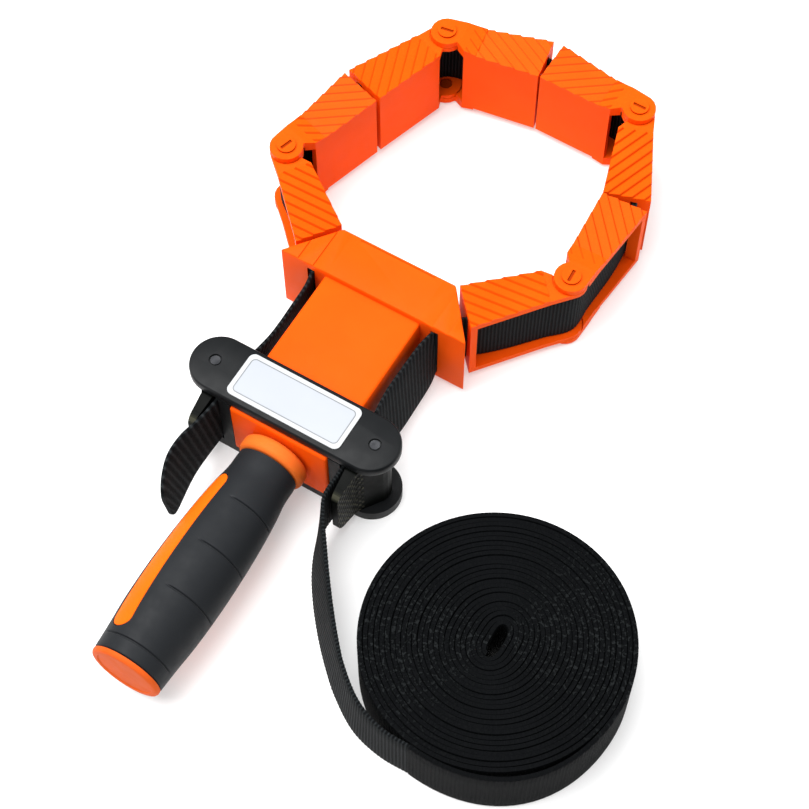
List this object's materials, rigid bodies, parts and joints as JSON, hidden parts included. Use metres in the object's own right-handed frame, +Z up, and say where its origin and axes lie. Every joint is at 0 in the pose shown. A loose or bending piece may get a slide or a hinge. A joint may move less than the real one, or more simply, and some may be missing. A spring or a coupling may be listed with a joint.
{
  "type": "band clamp",
  "caption": "Screw-tightened band clamp: a webbing loop through hinged corner brackets and a flat jaw, with cam levers, a sliding yoke and a turning handle.",
  "frame": {"origin": "centre of the jaw's flat front face, halfway up its height", "axes": "+Y from the handle through the jaw into the loop, +Z up off the surface that the clamp lies on, +X to the side where the spare webbing lies"},
  "size_m": [0.2011, 0.2744, 0.0369],
  "materials": {
    "orange_plastic": "satin moulded",
    "black_plastic": "satin moulded",
    "grip_rubber": "soft matte",
    "webbing": "ribbed woven webbing",
    "label": "semi-gloss film",
    "steel": "zinc plated"
  },
  "bodies": {
    "yoke": {"yoke_base": "black_plastic", "yoke_top": "black_plastic", "label_plate": "label", "cam_pin_left": "steel", "cam_pin_right": "steel", "cam_spring_left": "steel", "cam_spring_right": "steel", "drive_nut": "steel", "strap_front_left": "webbing", "strap_front_right": "webbing", "strap_tail_left": "webbing", "strap_free_run": "webbing", "strap_coil": "webbing"},
    "slide": {"slide_body": "orange_plastic", "strap_in_jaw_left": "webbing", "strap_in_jaw_right": "webbing"},
    "handle": {"lead_screw": "steel", "handle_core": "orange_plastic", "grip_sleeve": "grip_rubber", "end_cap": "orange_plastic", "retaining_clip": "steel", "thrust_washer": "steel"},
    "lever_left": {"cam_lever_left": "black_plastic"},
    "lever_right": {"cam_lever_right": "black_plastic"},
    "arm_1": {"bracket_arm_1": "orange_plastic", "strap_in_arm_1": "webbing"},
    "arm_2": {"bracket_arm_2": "orange_plastic", "strap_in_arm_2": "webbing", "snap_pin_1_upper": "orange_plastic", "snap_pin_1_lower": "orange_plastic"},
    "arm_3": {"bracket_arm_3": "orange_plastic", "strap_in_arm_3": "webbing"},
    "arm_4": {"bracket_arm_4": "orange_plastic", "strap_in_arm_4": "webbing", "snap_pin_2_upper": "orange_plastic", "snap_pin_2_lower": "orange_plastic"},
    "arm_5": {"bracket_arm_5": "orange_plastic", "strap_in_arm_5": "webbing", "snap_pin_3_upper": "orange_plastic", "snap_pin_3_lower": "orange_plastic"},
    "arm_6": {"bracket_arm_6": "orange_plastic", "strap_in_arm_6": "webbing"},
    "arm_7": {"bracket_arm_7": "orange_plastic", "strap_in_arm_7": "webbing", "snap_pin_4_upper": "orange_plastic", "snap_pin_4_lower": "orange_plastic"},
    "arm_8": {"bracket_arm_8": "orange_plastic", "strap_in_arm_8": "webbing"}
  },
  "joints": [
    {"name": "jaw_slide", "type": "slide", "parent": "yoke", "child": "slide", "axis": [0, -1, 0], "range_m": [0, 0.024], "deforming": ["strap_front_left", "strap_front_right"]},
    {"name": "handle_spin", "type": "hinge", "parent": "slide", "child": "handle", "pos_m": [0, -0.0772, 0], "axis": [0, -1, 0], "range_deg": [0, 4320]},
    {"name": "lever_left_turn", "type": "hinge", "parent": "yoke", "child": "lever_left", "pos_m": [-0.0305, -0.0662, 0], "axis": [0, 0, 1], "range_deg": [-35, 0], "stiffness_Nm_per_rad": 0.03, "springref_deg": 22.92},
    {"name": "lever_right_turn", "type": "hinge", "parent": "yoke", "child": "lever_right", "pos_m": [0.0305, -0.0662, 0], "axis": [0, 0, 1], "range_deg": [0, 35], "stiffness_Nm_per_rad": 0.03, "springref_deg": -22.92},
    {"name": "strap_bend_jaw_left", "type": "hinge", "parent": "slide", "child": "arm_1", "pos_m": [-0.02626, -0.00385, 0], "axis": [0, 0, 1], "range_deg": [-2.95, 2.95]},
    {"name": "bracket_1_turn", "type": "hinge", "parent": "arm_1", "child": "arm_2", "pos_m": [-0.05684, 0.01836, 0], "axis": [0, 0, 1], "range_deg": [-10, 10]},
    {"name": "strap_bend_1_2", "type": "hinge", "parent": "arm_2", "child": "arm_3", "pos_m": [-0.04579, 0.05451, 0], "axis": [0, 0, 1], "range_deg": [-1.99, 1.99]},
    {"name": "bracket_2_turn", "type": "hinge", "parent": "arm_3", "child": "arm_4", "pos_m": [-0.03411, 0.09046, 0], "axis": [0, 0, 1], "range_deg": [-9.82, 9.82]},
    {"name": "strap_bend_jaw_right", "type": "hinge", "parent": "slide", "child": "arm_8", "pos_m": [0.02626, -0.00385, 0], "axis": [0, 0, 1], "range_deg": [-1.2, 1.2]},
    {"name": "bracket_4_turn", "type": "hinge", "parent": "arm_8", "child": "arm_7", "pos_m": [0.05401, 0.02182, 0], "axis": [0, 0, 1], "range_deg": [-4.96, 4.96]},
    {"name": "strap_bend_3_4", "type": "hinge", "parent": "arm_7", "child": "arm_6", "pos_m": [0.05207, 0.05957, 0], "axis": [0, 0, 1], "range_deg": [-0.79, 0.79]},
    {"name": "bracket_3_turn", "type": "hinge", "parent": "arm_6", "child": "arm_5", "pos_m": [0.04102, 0.09572, 0], "axis": [0, 0, 1], "range_deg": [-9.04, 9.04]}
  ],
  "couplings": [
    {"joint": "handle_spin", "follows": "jaw_slide", "rad_per_m": 3141.6},
    {"joint": "strap_bend_jaw_left", "follows": "bracket_1_turn", "ratio": -0.255},
    {"joint": "bracket_2_turn", "follows": "bracket_1_turn", "ratio": -0.942},
    {"joint": "strap_bend_1_2", "follows": "bracket_1_turn", "ratio": -0.159},
    {"joint": "strap_bend_jaw_right", "follows": "bracket_1_turn", "ratio": 0.08},
    {"joint": "bracket_4_turn", "follows": "bracket_1_turn", "ratio": 0.456},
    {"joint": "strap_bend_3_4", "follows": "bracket_1_turn", "ratio": -0.039},
    {"joint": "bracket_3_turn", "follows": "bracket_1_turn", "ratio": -0.864}
  ]
}
